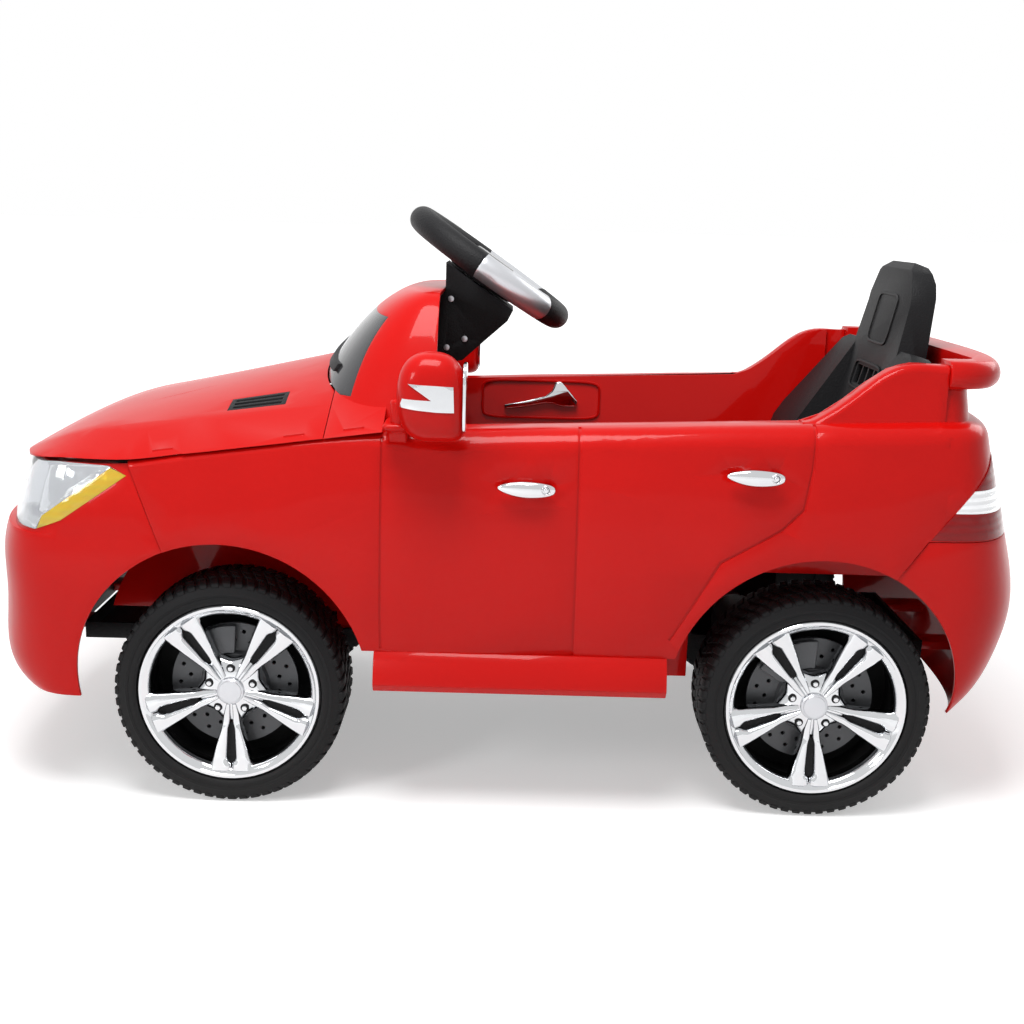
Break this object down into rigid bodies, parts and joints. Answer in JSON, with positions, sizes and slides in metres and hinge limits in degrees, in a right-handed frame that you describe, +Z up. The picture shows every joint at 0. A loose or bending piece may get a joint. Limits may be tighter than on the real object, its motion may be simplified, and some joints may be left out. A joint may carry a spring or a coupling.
{
  "type": "electric ride-on car",
  "caption": "Battery ride-on toy car for a small child, with steered front wheels, bucket seat, folding mirrors and a working pedal.",
  "frame": {"origin": "centre of the bounding box in plan, on the ground under the wheels", "axes": "X runs from the nose to the tail, Y from the left to the right side of the car, Z up"},
  "size_m": [1.1, 0.629, 0.6133],
  "materials": {
    "body_paint": "glossy red moulded plastic",
    "dark_plastic": "black grained plastic",
    "gloss_black": "smooth dark plastic",
    "chrome_trim": "chrome plated plastic",
    "silver_trim": "silver paint",
    "axle_steel": "zinc plated steel",
    "disc_grey": "dark grey plastic",
    "tyre_black": "black moulded tyre",
    "clear_lens": "clear polycarbonate",
    "amber_lens": "amber polycarbonate",
    "red_lens": "red polycarbonate"
  },
  "bodies": {
    "car": {"battery": "dark_plastic", "body_shell": "body_paint", "chassis_tray": "dark_plastic", "cockpit_tub": "body_paint", "column_housing": "dark_plastic", "control_box": "dark_plastic", "dashboard": "dark_plastic", "door_handles": "chrome_trim", "drive_motor": "axle_steel", "fog_lamps": "chrome_trim", "front_bumper": "body_paint", "gearbox_housing": "dark_plastic", "grille_insert": "dark_plastic", "headlamp_lenses": "clear_lens", "headlamp_reflectors": "chrome_trim", "hood_panel": "body_paint", "hood_vents": "dark_plastic", "housing_screws": "axle_steel", "inner_handles": "chrome_trim", "mirror_feet": "body_paint", "pedal_base": "dark_plastic", "rear_axle": "axle_steel", "rear_bumper": "body_paint", "rear_spoiler": "body_paint", "running_boards": "body_paint", "seat": "dark_plastic", "tail_lamp_bands": "clear_lens", "tail_lamp_lenses": "red_lens", "turn_lenses": "amber_lens", "windscreen": "gloss_black", "windscreen_cowl": "body_paint", "wiper_trim": "dark_plastic"},
    "steering": {"steering_wheel": "dark_plastic", "steering_trim": "silver_trim", "steering_shaft": "axle_steel"},
    "horn": {"horn_pad": "gloss_black"},
    "tie_rod": {"tie_rod": "axle_steel"},
    "knuckle_left": {"knuckle_left": "axle_steel"},
    "knuckle_right": {"knuckle_right": "axle_steel"},
    "mirror_left": {"mirror_housing_left": "body_paint", "mirror_trim_left": "chrome_trim"},
    "mirror_right": {"mirror_housing_right": "body_paint", "mirror_trim_right": "chrome_trim"},
    "pedal": {"foot_pedal": "dark_plastic"},
    "power_button": {"power_button": "gloss_black"},
    "direction_rocker": {"direction_rocker": "gloss_black"},
    "wheel_front_left": {"tyre_front_left": "tyre_black", "wheel_cover_front_left": "chrome_trim", "brake_disc_front_left": "disc_grey"},
    "wheel_front_right": {"tyre_front_right": "tyre_black", "wheel_cover_front_right": "chrome_trim", "brake_disc_front_right": "disc_grey"},
    "wheel_rear_left": {"tyre_rear_left": "tyre_black", "wheel_cover_rear_left": "chrome_trim", "brake_disc_rear_left": "disc_grey"},
    "wheel_rear_right": {"tyre_rear_right": "tyre_black", "wheel_cover_rear_right": "chrome_trim", "brake_disc_rear_right": "disc_grey"}
  },
  "joints": [
    {"name": "steering_turn", "type": "hinge", "parent": "car", "child": "steering", "pos_m": [-0.0295, 0, 0.5475], "axis": [0.5585, 0, 0.8295], "range_deg": [-33, 33]},
    {"name": "tie_rod_slide", "type": "slide", "parent": "car", "child": "tie_rod", "axis": [0, 1, 0], "range_m": [-0.0102, 0.0102]},
    {"name": "knuckle_left_turn", "type": "hinge", "parent": "car", "child": "knuckle_left", "pos_m": [-0.283, -0.14, 0.119], "axis": [0, 0, 1], "range_deg": [-15.4, 15.4]},
    {"name": "knuckle_right_turn", "type": "hinge", "parent": "car", "child": "knuckle_right", "pos_m": [-0.283, 0.14, 0.119], "axis": [0, 0, 1], "range_deg": [-15.4, 15.4]},
    {"name": "horn_press", "type": "slide", "parent": "steering", "child": "horn", "axis": [-0.5585, 0, -0.8295], "range_m": [0, 0.0025], "stiffness_N_per_m": 400},
    {"name": "front_left_spin", "type": "hinge", "parent": "knuckle_left", "child": "wheel_front_left", "pos_m": [-0.283, -0.205, 0.119], "axis": [0, 1, 0], "continuous": true},
    {"name": "front_right_spin", "type": "hinge", "parent": "knuckle_right", "child": "wheel_front_right", "pos_m": [-0.283, 0.205, 0.119], "axis": [0, 1, 0], "continuous": true},
    {"name": "rear_left_spin", "type": "hinge", "parent": "car", "child": "wheel_rear_left", "pos_m": [0.32, -0.205, 0.119], "axis": [0, 1, 0], "continuous": true},
    {"name": "rear_right_spin", "type": "hinge", "parent": "car", "child": "wheel_rear_right", "pos_m": [0.32, 0.205, 0.119], "axis": [0, 1, 0], "continuous": true},
    {"name": "mirror_left_fold", "type": "hinge", "parent": "car", "child": "mirror_left", "pos_m": [-0.112, -0.269, 0.409], "axis": [0, 0, 1], "range_deg": [0, 35]},
    {"name": "mirror_right_fold", "type": "hinge", "parent": "car", "child": "mirror_right", "pos_m": [-0.112, 0.269, 0.409], "axis": [0, 0, 1], "range_deg": [-35, 0]},
    {"name": "pedal_press", "type": "hinge", "parent": "car", "child": "pedal", "pos_m": [-0.112, 0.064, 0.154], "axis": [0, -1, 0], "range_deg": [0, 12], "stiffness_Nm_per_rad": 2, "springref_deg": -5.73},
    {"name": "power_press", "type": "slide", "parent": "car", "child": "power_button", "axis": [-1, 0, 0], "range_m": [0, 0.003], "stiffness_N_per_m": 300},
    {"name": "direction_rock", "type": "hinge", "parent": "car", "child": "direction_rocker", "pos_m": [-0.092, 0.07, 0.432], "axis": [0, 1, 0], "range_deg": [-12, 12]}
  ],
  "couplings": [
    {"joint": "tie_rod_slide", "follows": "steering_turn", "m_per_rad": -0.0175},
    {"joint": "knuckle_left_turn", "follows": "steering_turn", "ratio": 0.4605},
    {"joint": "knuckle_right_turn", "follows": "steering_turn", "ratio": 0.4605}
  ]
}
